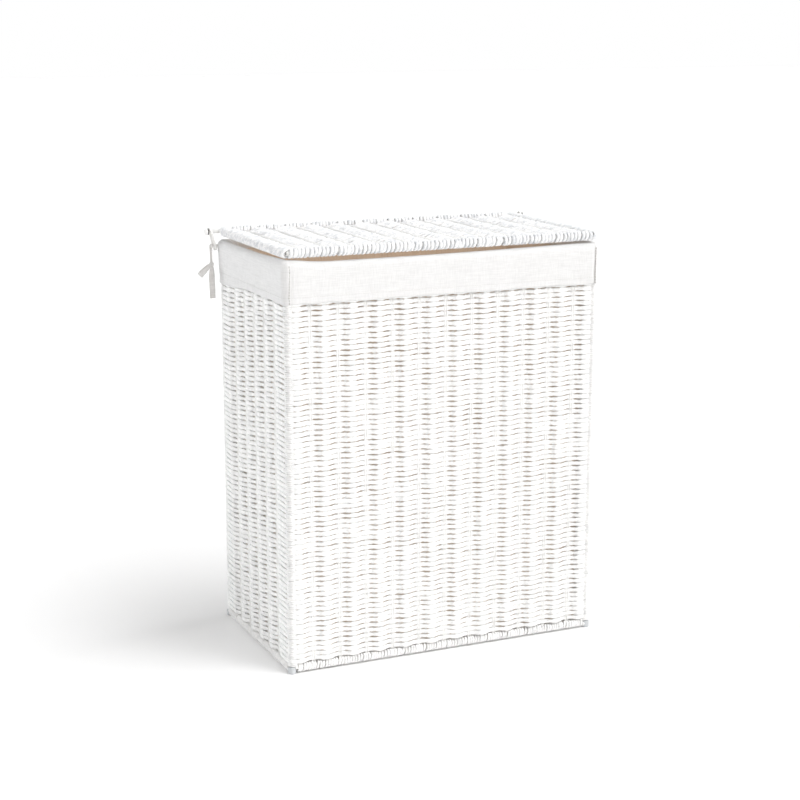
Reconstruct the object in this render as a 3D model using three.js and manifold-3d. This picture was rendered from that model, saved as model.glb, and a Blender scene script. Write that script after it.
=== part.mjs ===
// Woven laundry basket: a welded wire frame wound with paper rope, a rope-wound rim, a removable cloth
// liner folded over the rim, and a woven lid that swings on two oval rings at the rear corners.
// Millimetres. X runs along the front, Y towards the hinged side, Z up. The origin is on the floor under
// the middle of the basket.

import * as THREE from 'three';
import { mergeVertices } from 'three/addons/utils/BufferGeometryUtils.js';
import Module from 'manifold-3d';

const wasm = await Module();
wasm.setup();

// Overall sizes
const width = 460; // over the rope-wound rods of the two sides
const depth = 265; // over the rope-wound rods of the front and the back
const rimHeight = 550; // floor to the top of the liner where it folds over the rim
const cuffHeight = 53; // the part of the liner that hangs down outside
const lidGap = 5.5; // open slot between the liner and the lid's rim

// Frame
const rodRadius = 2.5; // posts and rails of the basket
const lidRodRadius = 3; // rim of the lid
const wireRadius = 0.9; // a stake is two of these, side by side
const wirePairSpacing = 3; // centre to centre of the two wires of a stake
const baseBar = 2.4; // square bar that holds the bottom's stakes together
const stakePitch = 19.3; // stake to stake
const cornerRoom = 9; // least distance from the last stake to the corner post
const groundGap = 1; // the wound bottom rods hang this far above the floor

// Rope, cloth and fits
const rope = 3.6; // thickness of the rope where it winds between stakes
const rimRope = 3.2; // thickness of the rope wound round the basket's rods
const lidRope = 3.6; // thickness of the rope wound round the lid's rim
const cloth = 1.6; // liner, with its hem and lining
const clearance = 0.3; // left between pieces that touch
const stakeFlat = 3.2; // the rope runs straight this far each side of a stake

// Feet, hinge rings and ties
const footRadius = 5.5;
const footHeight = 9;
const ringBand = 1.8; // thickness of a ring's band
const ringWidth = 3.2; // along the rods it hangs on
const ringPlay = 0.6; // round the thicker rod
const ringFoot = 4.6; // cuff's outside to the middle of the ring, at the basket's rail
const ringLean = 5; // how much farther out the ring is at the lid's rod
const washerRadius = 4.5;
const washerThickness = 1.2;
const capRadius = 4.8;
const capLength = 5;
const capFlat = 1; // radius of the flat middle of a cap's end
const capRim = 1; // straight part of a cap's side, before it rounds over
const tieWidth = 2.6; // the ribbon where it hangs on the rail's end
const ribbon = 0.9; // thickness of one layer of ribbon
const tieDrop = 25; // rail to knot
const knotRadius = 3.6;
const tailLength = 44;
const tailWidth = 8;
const bowLength = 17;
const bowAngle = 52; // degrees below level
const slitWidth = 7; // opening in the cuff for the rail's end

// Worked out from the sizes above
const rimRadius = rodRadius + clearance + rimRope; // outside of a rope-wound rod of the basket
const lidRadius = lidRodRadius + clearance + lidRope; // outside of the lid's rope-wound rim
const frameX = width / 2 - rimRadius; // plane of the side wires, and the rails' axes
const frameY = depth / 2 - rimRadius;
const baseZ = groundGap + rimRadius; // axis of the bottom rails, and plane of the bottom's wires
const hemRadius = rimRadius + clearance; // inside of the liner's fold
const foldRadius = hemRadius + cloth;
const railZ = rimHeight - foldRadius; // axis of the top rails
const lidZ = rimHeight + lidGap + lidRadius; // axis of the lid's rods, which is the hinge axis
const cuffBottom = rimHeight - cuffHeight;
const windOffset = wireRadius + clearance + rope / 2; // rope's centre line from the wires' plane
const wallReach = windOffset + rope / 2; // wires' plane to the rope's outer face
const postInset = rodRadius - wireRadius; // posts' outsides line up with the wires' outsides
const wallBottom = baseZ + rimRadius + clearance;
const wallTop = railZ - rimRadius - clearance;
const floorTop = baseZ + wallReach + clearance; // underside of the liner's bottom

const deg = Math.PI / 180;
const paperWhite = new THREE.MeshStandardMaterial({ color: 0xf1eee8, roughness: 0.85, metalness: 0 });
const wirePaint = new THREE.MeshStandardMaterial({ color: 0xf6f6f4, roughness: 0.35, metalness: 0 });
const cotton = new THREE.MeshStandardMaterial({ color: 0xf4f3f0, roughness: 0.95, metalness: 0 });
const footPlastic = new THREE.MeshStandardMaterial({ color: 0xdfe3e8, roughness: 0.4, metalness: 0 });
const rubber = new THREE.MeshStandardMaterial({ color: 0x1c1c1e, roughness: 0.7, metalness: 0 });

// Each side of the basket is built as if it were the front: X along it, -Y outwards.
const sides = [
  { name: 'front', turn: 0, half: frameX, plane: frameY },
  { name: 'right', turn: 90, half: frameY, plane: frameX },
  { name: 'back', turn: 180, half: frameX, plane: frameY },
  { name: 'left', turn: 270, half: frameY, plane: frameX },
];

const basket = new THREE.Group();
const lid = new THREE.Group();
lid.position.set(0, frameY, lidZ);
basket.add(lid);
const sideGroups = {};
for (const side of sides) {
  const group = new THREE.Group();
  group.rotation.z = side.turn * deg;
  basket.add(group);
  sideGroups[side.name] = group;
}

function piece(parent, name, geometry, material) {
  const mesh = new THREE.Mesh(geometry, material);
  mesh.name = name;
  parent.add(mesh);
  return mesh;
}

// --- solids, joins and cuts ---

function solidOf(geometry) {
  const bare = geometry.clone();
  bare.deleteAttribute('normal');
  bare.deleteAttribute('uv');
  const merged = mergeVertices(bare, 1e-4);
  const vertProperties = new Float32Array(merged.attributes.position.array);
  const triVerts = new Uint32Array(merged.index.array);
  return new wasm.Manifold(new wasm.Mesh({ numProp: 3, vertProperties, triVerts }));
}

function geometryOf(solid) {
  const mesh = solid.getMesh();
  const geometry = new THREE.BufferGeometry();
  geometry.setAttribute('position', new THREE.BufferAttribute(mesh.vertProperties, 3));
  geometry.setIndex(new THREE.BufferAttribute(mesh.triVerts, 1));
  geometry.computeVertexNormals();
  return geometry;
}

function join(geometries) {
  let whole = solidOf(geometries[0]);
  for (const next of geometries.slice(1)) {
    whole = whole.add(solidOf(next));
  }
  return geometryOf(whole);
}

function cut(geometry, tools) {
  let left = solidOf(geometry);
  for (const tool of tools) {
    left = left.subtract(solidOf(tool));
  }
  return geometryOf(left);
}

function extrude(shape, length) {
  return new THREE.ExtrudeGeometry(shape, { depth: length, bevelEnabled: false, steps: 1 });
}

// A section drawn as (outwards, up) becomes a bar along X, centred on x = 0.
function alongX(shape, length) {
  const turn = new THREE.Matrix4().makeBasis(
    new THREE.Vector3(0, -1, 0),
    new THREE.Vector3(0, 0, 1),
    new THREE.Vector3(-1, 0, 0),
  );
  return extrude(shape, length).applyMatrix4(turn).translate(length / 2, 0, 0);
}

// A section drawn as (across, up) becomes a slab along Y, centred on y = 0.
function alongY(shape, length) {
  const turn = new THREE.Matrix4().makeBasis(
    new THREE.Vector3(1, 0, 0),
    new THREE.Vector3(0, 0, 1),
    new THREE.Vector3(0, -1, 0),
  );
  return extrude(shape, length).applyMatrix4(turn).translate(0, length / 2, 0);
}

function rodX(radius, from, to, y, z, facets = 10) {
  const rod = new THREE.CylinderGeometry(radius, radius, to - from, facets);
  return rod.rotateZ(90 * deg).translate((from + to) / 2, y, z);
}

function rodY(radius, from, to, x, z, facets = 10) {
  const rod = new THREE.CylinderGeometry(radius, radius, to - from, facets);
  return rod.translate(x, (from + to) / 2, z);
}

function rodZ(radius, from, to, x, y, facets = 10) {
  const rod = new THREE.CylinderGeometry(radius, radius, to - from, facets);
  return rod.rotateX(90 * deg).translate(x, y, (from + to) / 2);
}

// Stake wires are drawn square, with the section area of the round wire.
const wireSide = wireRadius * Math.sqrt(Math.PI);

function wireY(from, to, x, z) {
  return new THREE.BoxGeometry(wireSide, to - from, wireSide).translate(x, (from + to) / 2, z);
}

function wireZ(from, to, x, y) {
  return new THREE.BoxGeometry(wireSide, wireSide, to - from).translate(x, y, (from + to) / 2);
}

function shapeOf(points) {
  return new THREE.Shape(points.map(([x, y]) => new THREE.Vector2(x, y)));
}

function arc(radius, from, to, steps, x = 0, y = 0) {
  const points = [];
  for (let i = 0; i <= steps; i += 1) {
    const angle = (from + ((to - from) * i) / steps) * deg;
    points.push([x + radius * Math.cos(angle), y + radius * Math.sin(angle)]);
  }
  return points;
}

// Cuts both ends of a bar at 45 degrees, so that it meets its neighbours at the corners.
function mitreTools(half, plane) {
  const size = 2 * rimHeight;
  return [45, 135].map((angle) => {
    const block = new THREE.BoxGeometry(size, size, 2 * size);
    const end = angle === 45 ? half : -half;
    block.translate(size / 2 - clearance / 2, 0, 0);
    return block.rotateZ(angle * deg).translate(end, -plane, 0);
  });
}

// --- the winding rope ---

// Number of the last stake, counted from the middle one: odd, because the rope passes outside odd stakes
// and outside the corner posts.
function lastStake(half) {
  const most = Math.floor((half - postInset - cornerRoom) / stakePitch);
  return most % 2 === 1 ? most : most - 1;
}

function stakePlaces(last) {
  const places = [];
  for (let k = -last; k <= last; k += 1) {
    places.push(k * stakePitch);
  }
  return places;
}

// Where the rope's centre line is, measured outwards from the wires' plane.
function ropeAt(u, last) {
  const step = Math.abs(u) / stakePitch;
  if (step >= last) {
    return windOffset;
  }
  const stake = Math.floor(step);
  const travelled = (step - stake) * stakePitch - stakeFlat;
  const share = Math.min(Math.max(travelled / (stakePitch - 2 * stakeFlat), 0), 1);
  const start = stake % 2 === 1 ? windOffset : -windOffset;
  return start * Math.cos(Math.PI * share);
}

// Outline of the woven sheet seen end-on: (along the wall, outwards).
function windingOutline(last, end) {
  const stations = [-end];
  for (let k = -last; k <= last; k += 1) {
    const middle = k * stakePitch;
    stations.push(middle - stakeFlat, middle + stakeFlat);
    if (k < last) {
      const span = stakePitch - 2 * stakeFlat;
      stations.push(middle + stakeFlat + span / 3, middle + stakeFlat + (2 * span) / 3);
    }
  }
  stations.push(end);
  const within = stations.filter((u) => Math.abs(u) <= end);
  const small = 0.01;
  const outer = [];
  const inner = [];
  for (const u of within) {
    const slope = (ropeAt(u + small, last) - ropeAt(u - small, last)) / (2 * small);
    const length = Math.hypot(1, slope);
    const offset = ropeAt(u, last);
    const lean = Math.abs(u) === end ? 0 : slope;
    outer.push([u - (lean / length) * (rope / 2), offset + rope / 2 / length]);
    inner.push([u + (lean / length) * (rope / 2), offset - rope / 2 / length]);
  }
  return [...outer, ...inner.reverse()];
}

function wovenWall(side) {
  const last = lastStake(side.half);
  const postAt = side.half - postInset;
  const cornered = side.turn % 180 === 0;
  const end = cornered ? postAt : postAt - clearance;
  const outline = windingOutline(last, end).map(([u, out]) => [u, -(side.plane + out)]);
  const sheet = extrude(shapeOf(outline), wallTop - wallBottom).translate(0, 0, wallBottom);
  if (!cornered) {
    return sheet;
  }
  const bottom = Math.max(footHeight, baseZ + rodRadius) + clearance;
  const parts = [sheet];
  for (const hand of [-1, 1]) {
    const from = hand < 0 ? 180 : 270;
    const centre = [hand * postAt, -(side.plane - postInset)];
    const inside = rodRadius + clearance;
    const ring = [
      ...arc(inside + rope, from, from + 90, 6, ...centre),
      ...arc(inside, from + 90, from, 4, ...centre),
    ];
    parts.push(extrude(shapeOf(ring), wallTop - bottom).translate(0, 0, bottom));
  }
  return join(parts);
}

function wovenPanel(halfX, halfY) {
  const outline = windingOutline(lastStake(frameX), halfX);
  return alongY(shapeOf(outline), 2 * halfY);
}

// --- the wire frame ---

function pairOf(place) {
  return [place - wirePairSpacing / 2, place + wirePairSpacing / 2];
}

function railEnd(side) {
  return side.turn % 180 === 0 ? side.half : side.half - rodRadius - clearance;
}

// A wall's bottom rail, its stakes and, except at the back, its top rail, welded into one panel.
function wirePanel(side) {
  const y = -side.plane;
  const end = railEnd(side);
  const hinged = side.name === 'back';
  const top = hinged ? railZ - rodRadius - clearance : railZ;
  const parts = [rodX(rodRadius, -end, end, y, baseZ)];
  if (!hinged) {
    parts.push(rodX(rodRadius, -end, end, y, railZ));
  }
  for (const place of stakePlaces(lastStake(side.half)).flatMap(pairOf)) {
    parts.push(wireZ(baseZ, top, place, y));
  }
  return join(parts);
}

// The bottom's stakes, welded to a bar beside the front rail and one beside the back rail.
function baseGrid() {
  const barAt = frameY - rodRadius - clearance - baseBar / 2;
  const stakes = stakePlaces(lastStake(frameX)).flatMap(pairOf);
  const end = stakes[stakes.length - 1];
  const bar = new THREE.BoxGeometry(2 * (end + baseBar), baseBar, baseBar);
  const parts = [-barAt, barAt].map((y) => bar.clone().translate(0, y, baseZ));
  for (const place of stakes) {
    parts.push(wireY(-barAt, barAt, place, baseZ));
  }
  return join(parts);
}

// --- rope wound round the rods ---

// Section of a wound rod, open between two angles: 0 is outwards, 90 up, 180 inwards.
function windingSection(rod, wound, openFrom, openTo) {
  const inside = rod + clearance;
  const shape = [
    ...arc(inside + wound, openTo, openFrom + 360, 16),
    ...arc(inside, openFrom + 360, openTo, 12),
  ];
  return shapeOf(shape);
}

// Half the angle of the slot that a wound rod leaves for wires that reach it.
function slotAngle(rod, wire) {
  return Math.asin((wire + clearance) / (rod + clearance)) / deg;
}

function baseBinding(side) {
  const half = side.half - footRadius - clearance;
  const openFrom = 90 - slotAngle(rodRadius, wireRadius);
  const openTo = 180 + slotAngle(rodRadius, baseBar / 2);
  const section = windingSection(rodRadius, rimRope, openFrom, openTo);
  return alongX(section, 2 * half).translate(0, -side.plane, baseZ);
}

function topBinding(side) {
  const slot = slotAngle(rodRadius, wireRadius);
  const section = windingSection(rodRadius, rimRope, 270 - slot, 270 + slot);
  const bar = alongX(section, 2 * (side.half + rimRadius)).translate(0, -side.plane, railZ);
  const tools = mitreTools(side.half, side.plane);
  const clear = rodRadius + clearance;
  for (const end of [-1, 1]) {
    const x = end * (side.half - postInset);
    tools.push(rodZ(clear, wallTop - rimRadius, railZ, x, -(side.plane - postInset)));
  }
  if (side.turn % 180 !== 0) {
    const hingeEnd = side.name === 'right' ? 1 : -1;
    const x = hingeEnd * side.half;
    tools.push(rodY(clear, -side.plane - 2 * rimRadius, -side.plane, x, railZ));
  }
  return cut(bar, tools);
}

// --- liner ---

// Up the inside of a wall, over the rim and down to the hem: (outwards, up) from the rail's axis.
function linerSection() {
  const low = floorTop - railZ;
  const drop = cuffBottom - railZ;
  return shapeOf([
    [-hemRadius, low],
    [-foldRadius, low],
    ...arc(foldRadius, 180, 0, 10),
    [foldRadius, drop],
    [hemRadius, drop],
    ...arc(hemRadius, 0, 180, 10),
  ]);
}

function linerWall(side) {
  const bar = alongX(linerSection(), 2 * (side.half + foldRadius)).translate(0, -side.plane, railZ);
  const tools = mitreTools(side.half, side.plane);
  if (side.turn % 180 !== 0) {
    const hingeEnd = side.name === 'right' ? 1 : -1;
    const top = railZ + slitWidth / 2;
    const slit = new THREE.BoxGeometry(slitWidth, 2 * hemRadius, top - cuffBottom + cloth);
    const z = (top + cuffBottom - cloth) / 2;
    tools.push(slit.translate(hingeEnd * side.half, -side.plane - 2 * hemRadius + cloth, z));
  }
  return cut(bar, tools);
}

function linerBottom() {
  const halfX = frameX - foldRadius - clearance;
  const halfY = frameY - foldRadius - clearance;
  const sheet = new THREE.BoxGeometry(2 * halfX, 2 * halfY, cloth);
  return sheet.translate(0, 0, floorTop + cloth / 2);
}

// --- feet ---

function footCap(x, y) {
  const body = rodZ(footRadius, 0, footHeight, x, y, 20);
  const clear = rodRadius + clearance;
  const toX = Math.sign(x) * (Math.abs(x) - 2 * footRadius);
  const toY = Math.sign(y) * (Math.abs(y) - 2 * footRadius);
  const endX = x + Math.sign(x) * clearance;
  return cut(body, [
    rodX(clear, Math.min(endX, toX), Math.max(endX, toX), y, baseZ),
    rodY(clear, Math.min(y, toY), Math.max(y, toY), x, baseZ),
  ]);
}

// --- lid, drawn round its hinge axis: y = 0 and z = 0 are the axis of the hinge rod ---

function lidFrame() {
  const rearEnd = -lidRodRadius - clearance;
  const front = -2 * frameY;
  const parts = [rodX(lidRodRadius, -frameX, frameX, front, 0)];
  for (const x of [-frameX, frameX]) {
    parts.push(rodY(lidRodRadius, front, rearEnd, x, 0));
    parts.push(new THREE.SphereGeometry(lidRodRadius, 12, 8).rotateX(90 * deg).translate(x, front, 0));
  }
  for (const place of stakePlaces(lastStake(frameX)).flatMap(pairOf)) {
    parts.push(wireY(front, rearEnd, place, 0));
  }
  return join(parts);
}

function lidBinding(side) {
  const slot = slotAngle(lidRodRadius, wireRadius);
  const section = windingSection(lidRodRadius, lidRope, 180 - slot, 180 + slot);
  const bar = alongX(section, 2 * (side.half + lidRadius)).translate(0, -side.plane, 0);
  const tools = mitreTools(side.half, side.plane);
  if (side.turn % 180 !== 0) {
    const hingeEnd = side.name === 'right' ? 1 : -1;
    const clear = lidRodRadius + clearance;
    tools.push(rodY(clear, -side.plane - 2 * lidRadius, -side.plane + lidRadius, hingeEnd * side.half, 0));
  }
  return cut(bar, tools);
}

// --- hinge rings, caps and ties, drawn for the right-hand corner ---

const cuffFace = frameX + foldRadius;
const ringMiddle = cuffFace + ringFoot + ringLean / 2;
const ringTilt = Math.atan2(ringLean, lidZ - railZ);
const railTip = cuffFace + ringFoot + ringWidth + tieWidth;
const tieAt = cuffFace + ringFoot + ringWidth / 2 + clearance + tieWidth;
const ringTop = ringLean / 2 + capRadius * Math.tan(ringTilt); // ring's lean at the top of the cap
const washerStart = ringMiddle + ringWidth / 2 / Math.cos(ringTilt) + ringTop + clearance;
const capStart = washerStart + washerThickness + clearance;

// A flat oval link in the plane of Y and Z, its middle at the origin.
function ovalLink(inside, band, reach, thickness) {
  const outline = [...arc(inside + band, 0, 180, 8, 0, reach), ...arc(inside + band, 180, 360, 8, 0, -reach)];
  const shape = shapeOf(outline);
  const hole = [...arc(inside, 0, 180, 8, 0, reach), ...arc(inside, 180, 360, 8, 0, -reach)];
  shape.holes.push(new THREE.Path(hole.map(([x, y]) => new THREE.Vector2(x, y))));
  const turn = new THREE.Matrix4().makeBasis(
    new THREE.Vector3(0, 1, 0),
    new THREE.Vector3(0, 0, 1),
    new THREE.Vector3(1, 0, 0),
  );
  return extrude(shape, thickness).applyMatrix4(turn).translate(-thickness / 2, 0, 0);
}

function hingeRing(hand) {
  const reach = (lidZ - railZ) / 2 / Math.cos(ringTilt) + ringPlay;
  const link = ovalLink(lidRodRadius + ringPlay, ringBand, reach, ringWidth);
  return link.rotateY(hand * ringTilt).translate(hand * ringMiddle, frameY, (lidZ + railZ) / 2);
}

// The washer that keeps the cap off the leaning ring.
function rodWasher(hand) {
  const inside = lidRodRadius + clearance;
  const profile = [
    [inside, 0],
    [washerRadius, 0],
    [washerRadius, washerThickness],
    [inside, washerThickness],
    [inside, 0],
  ];
  const lathe = new THREE.LatheGeometry(profile.map(([r, z]) => new THREE.Vector2(r, z)), 12);
  return lathe.rotateZ(-hand * 90 * deg).translate(hand * washerStart, 0, 0);
}

// A push-on cap with a blind hole for the end of the lid's hinge rod.
function rodCap(hand) {
  const inside = lidRodRadius + clearance;
  const floor = capLength / 2;
  const profile = [
    [0, floor],
    [inside, floor],
    [inside, 0],
    [capRadius, 0],
    ...arc(1, 0, 90, 4).map(([r, z]) => [
      capFlat + r * (capRadius - capFlat),
      capRim + z * (capLength - capRim),
    ]),
    [0, capLength],
  ];
  const lathe = new THREE.LatheGeometry(profile.map(([r, z]) => new THREE.Vector2(r, z)), 12);
  return lathe.rotateZ(-hand * 90 * deg).translate(hand * capStart, 0, 0);
}

function tieLoop(hand) {
  const inside = rodRadius + clearance;
  const top = railZ;
  const bottom = railZ - tieDrop + knotRadius + inside + ribbon;
  const link = ovalLink(inside, ribbon, (top - bottom) / 2, tieWidth);
  return link.translate(hand * tieAt, frameY, (top + bottom) / 2);
}

function tieKnot(hand) {
  const knot = new THREE.SphereGeometry(knotRadius, 12, 8);
  return knot.translate(hand * tieAt, frameY, railZ - tieDrop - clearance);
}

function tieTail(hand) {
  const top = railZ - tieDrop - knotRadius - 2 * clearance;
  const strip = new THREE.BoxGeometry(tailWidth, ribbon, tailLength);
  return strip.translate(hand * tieAt, frameY, top - tailLength / 2);
}

function tieBow(hand) {
  const start = knotRadius + 2 * ribbon;
  const fold = new THREE.BoxGeometry(bowLength, 2 * ribbon, tailWidth);
  fold.translate(hand * (start + bowLength / 2), 0, 0).rotateY(hand * bowAngle * deg);
  return fold.translate(hand * (tieAt + tailWidth / 2), frameY, railZ - tieDrop + knotRadius / 2);
}

// --- assembly ---

for (const side of sides) {
  const group = sideGroups[side.name];
  piece(group, `wire_panel_${side.name}`, wirePanel(side), wirePaint);
  piece(group, `woven_${side.name}`, wovenWall(side), paperWhite);
  piece(group, `base_binding_${side.name}`, baseBinding(side), paperWhite);
  piece(group, `top_binding_${side.name}`, topBinding(side), paperWhite);
  piece(group, `liner_${side.name}`, linerWall(side), cotton);
}

for (const [row, y] of [['front', -1], ['rear', 1]]) {
  for (const [column, x] of [['left', -1], ['right', 1]]) {
    const post = rodZ(
      rodRadius,
      baseZ + rodRadius + clearance,
      railZ - rodRadius - clearance,
      x * (frameX - postInset),
      y * (frameY - postInset),
    );
    piece(basket, `corner_post_${row}_${column}`, post, wirePaint);
    piece(basket, `foot_cap_${row}_${column}`, footCap(x * frameX, y * frameY), footPlastic);
  }
}

const floorX = frameX - rimRadius - clearance;
const floorY = frameY - rimRadius - clearance;
piece(basket, 'base_wire_grid', baseGrid(), wirePaint);
piece(basket, 'woven_base', wovenPanel(floorX, floorY), paperWhite).position.z = baseZ;
piece(basket, 'liner_bottom', linerBottom(), cotton);
piece(basket, 'rear_top_rail', rodX(rodRadius, -railTip, railTip, frameY, railZ), wirePaint);

const rodTip = capStart + capLength / 2 - clearance;
piece(lid, 'lid_frame', lidFrame(), wirePaint);
piece(lid, 'lid_hinge_rod', rodX(lidRodRadius, -rodTip, rodTip, 0, 0), wirePaint);
const lidPanel = wovenPanel(frameX - lidRadius - clearance, frameY - lidRadius - clearance);
piece(lid, 'woven_lid', lidPanel, paperWhite).position.y = -frameY;
const lidRim = new THREE.Group();
lidRim.position.y = -frameY;
lid.add(lidRim);
for (const side of sides) {
  const binding = piece(lidRim, `lid_binding_${side.name}`, lidBinding(side), paperWhite);
  binding.rotation.z = side.turn * deg;
}

for (const [name, hand] of [['left', -1], ['right', 1]]) {
  piece(basket, `hinge_ring_${name}`, hingeRing(hand), wirePaint);
  piece(basket, `tie_loop_${name}`, tieLoop(hand), cotton);
  piece(basket, `tie_knot_${name}`, tieKnot(hand), cotton);
  piece(basket, `tie_tail_${name}`, tieTail(hand), cotton);
  piece(basket, `tie_bow_${name}`, tieBow(hand), cotton);
  piece(lid, `rod_washer_${name}`, rodWasher(hand), rubber);
  piece(lid, `rod_cap_${name}`, rodCap(hand), footPlastic);
}

export default basket;
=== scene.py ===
"""Looks of the woven laundry basket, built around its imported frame.

White twisted paper rope is wound round a wire frame, a cotton liner is folded over the rim, and a woven lid
swings on two links at the rear corners. Metres, Z up, and -Y is the front.
"""

import math

import bmesh
import bpy
import numpy as np
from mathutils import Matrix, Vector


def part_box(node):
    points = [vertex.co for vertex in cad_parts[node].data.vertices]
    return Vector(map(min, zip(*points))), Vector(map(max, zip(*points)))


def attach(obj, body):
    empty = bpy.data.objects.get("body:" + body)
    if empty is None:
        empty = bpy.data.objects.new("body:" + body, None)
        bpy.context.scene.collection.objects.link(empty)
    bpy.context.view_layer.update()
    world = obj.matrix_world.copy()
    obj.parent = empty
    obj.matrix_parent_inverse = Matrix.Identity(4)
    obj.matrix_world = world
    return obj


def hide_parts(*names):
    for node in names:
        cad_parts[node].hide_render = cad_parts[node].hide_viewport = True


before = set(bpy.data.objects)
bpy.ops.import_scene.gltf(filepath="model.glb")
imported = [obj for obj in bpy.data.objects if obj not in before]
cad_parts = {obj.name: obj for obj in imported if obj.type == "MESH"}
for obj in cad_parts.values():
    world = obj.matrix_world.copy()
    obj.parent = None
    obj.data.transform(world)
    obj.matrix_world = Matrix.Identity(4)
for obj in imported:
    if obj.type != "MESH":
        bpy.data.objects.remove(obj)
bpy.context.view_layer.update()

MM = 0.001
TAU = 2 * math.pi

# --- sizes of the looks; places come from the frame's boxes ---

STAKE_PITCH = 19.3 * MM  # stake to stake
WIRE_RADIUS = 0.9 * MM
WIRE_SPACING = 3 * MM  # between the two wires of a stake
CORNER_ROOM = 9 * MM  # least distance from the last stake to a corner post
STAKE_FLAT = 3.2 * MM  # the rope runs straight this far each side of a stake
CLEARANCE = 0.3 * MM

CUFF_HEIGHT = 53 * MM  # rim to the cuff's hem
CLOTH = 1.2 * MM  # thickness of the liner's cloth
SLIT_WIDTH = 7 * MM  # opening in the cuff for the end of the rear rail
HEM_DROOP = 6.5 * MM  # how much lower the cuff hangs at its left rear corner

ROW_PITCH = 6.9 * MM
ROPE_STEP = 1.6 * MM  # between the sections of a modelled rope
ROPE_SIDES = 10
ROPE_LAY = 13.5 * MM  # length of one full twist of the two plies
GROOVE = 0.30  # depth of the groove between the plies, as a share of the rope's radius
PRESSED_HALF = 3.62 * MM  # half the height of a row, where the rows squash each other
SPAN_HALF = 3.03 * MM  # half its height between stakes, where small gaps open
PANEL_DEPTH = 0.55  # depth of the winding on the lid and the bottom, as a share of that on the walls
BITE = 0.5  # share of its full depth that the rope goes behind an inner stake, whose wires bite into it
SQUARENESS = 0.75  # below 1, the rope's section is boxier than an ellipse, because the rows press together
WRAP_GAP = 0.1 * MM  # between a rod and the rope wound round it
CORNER_RADIUS = 10 * MM  # of the cuff, seen from above
CUFF_INSIDE = 22 * MM  # how far the cuff goes down inside, below the rail's axis
HEM_FOLD = 10 * MM  # height of the hem, where the cloth is doubled
HEM_STITCH = 3.4 * MM  # stitch to stitch
SEAM_STITCH = 3.6 * MM
BAG_DROP = 4 * MM  # the bag starts this far below the rail's axis
LINK_GAP = 0.6 * MM  # between the lid's rod and the links
LINK_WIDTH = 3.0 * MM  # the least width of a link's band
TAPE = 0.7 * MM  # thickness of the ties' tape

LONG_SIDES = ("front", "back")
HANDS = (("left", -1), ("right", 1))
CORNERS = [(row, column) for row in ("front", "rear") for column in ("left", "right")]
UP = np.array([0, 0, 1.0])
REARWARD = np.array([0, 1.0, 0])

rng = np.random.default_rng(41)


# --- places, read off the frame ---


def low(node):
    return np.array(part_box(node)[0])


def high(node):
    return np.array(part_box(node)[1])


def middle(node):
    return (low(node) + high(node)) / 2


def extent(node):
    return high(node) - low(node)


def largest_radius(node, axis):
    """Radius of a rod that lies along an axis."""
    return max(extent(node)[i] for i in range(3) if i != axis) / 2


rod_radius = largest_radius("rear_top_rail", 0)
lid_rod_radius = largest_radius("lid_hinge_rod", 0)
frame_x = middle("wire_panel_right")[0]
frame_y = middle("wire_panel_back")[1]
base_z = middle("base_wire_grid")[2]
rail_z = middle("rear_top_rail")[2]
lid_z = middle("lid_hinge_rod")[2]
post_x, post_y = middle("corner_post_rear_right")[:2]
wall_bottom = low("woven_right")[2]
wall_top = high("woven_right")[2]
wall_reach = -low("woven_front")[1] - frame_y
rope_thickness = wall_reach - WIRE_RADIUS - CLEARANCE
wind_offset = wall_reach - rope_thickness / 2
rim_radius = high("top_binding_back")[1] - frame_y
lid_rim_radius = high("lid_binding_back")[1] - frame_y
rim_top = high("liner_front")[2]
cuff_reach = -low("liner_front")[1] - frame_y
cuff_bottom = rim_top - CUFF_HEIGHT


# --- meshes from arrays ---


def add_object(name, data):
    obj = bpy.data.objects.new(name, data)
    bpy.context.scene.collection.objects.link(obj)
    return obj


def new_object(name, points, faces, uvs=None, smooth=True):
    """An object from an array of points and arrays of equal-sided faces, with its UV maps by name."""
    mesh = bpy.data.meshes.new(name)
    mesh.vertices.add(len(points))
    mesh.vertices.foreach_set("co", np.ascontiguousarray(points, np.float32).ravel())
    sizes = np.concatenate([np.full(len(f), f.shape[1], np.int32) for f in faces])
    corners = np.concatenate([np.asarray(f, np.int32).ravel() for f in faces])
    mesh.loops.add(len(corners))
    mesh.loops.foreach_set("vertex_index", corners)
    mesh.polygons.add(len(sizes))
    mesh.polygons.foreach_set("loop_start", np.concatenate([[0], np.cumsum(sizes)[:-1]]).astype(np.int32))
    mesh.polygons.foreach_set("use_smooth", np.full(len(sizes), smooth))
    for layer, values in (uvs or {}).items():
        made = mesh.uv_layers.new(name=layer)
        made.data.foreach_set("uv", np.ascontiguousarray(values, np.float32).ravel())
    mesh.update(calc_edges=True)
    mesh.validate()
    return add_object(name, mesh)


def grid_faces(rows, steps, sides, closed):
    """Quads of rows of tubes, each a grid of steps by sides that is closed round its sides."""
    r = np.arange(rows)[:, None, None]
    s = np.arange(steps if closed else steps - 1)[None, :, None]
    k = np.arange(sides)[None, None, :]
    s2, k2 = (s + 1) % steps, (k + 1) % sides
    base = r * steps * sides
    corners = [base + s * sides + k, base + s2 * sides + k, base + s2 * sides + k2, base + s * sides + k2]
    return np.stack(np.broadcast_arrays(*corners), -1).reshape(-1, 4)


def tube_faces(rows, steps, sides):
    """Faces of rows of open tubes: their quads, and the polygons that close their ends."""
    first = np.arange(rows)[:, None] * steps * sides + np.arange(sides)
    ends = np.concatenate([first[:, ::-1], first + (steps - 1) * sides])
    return [grid_faces(rows, steps, sides, False), ends]


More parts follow.
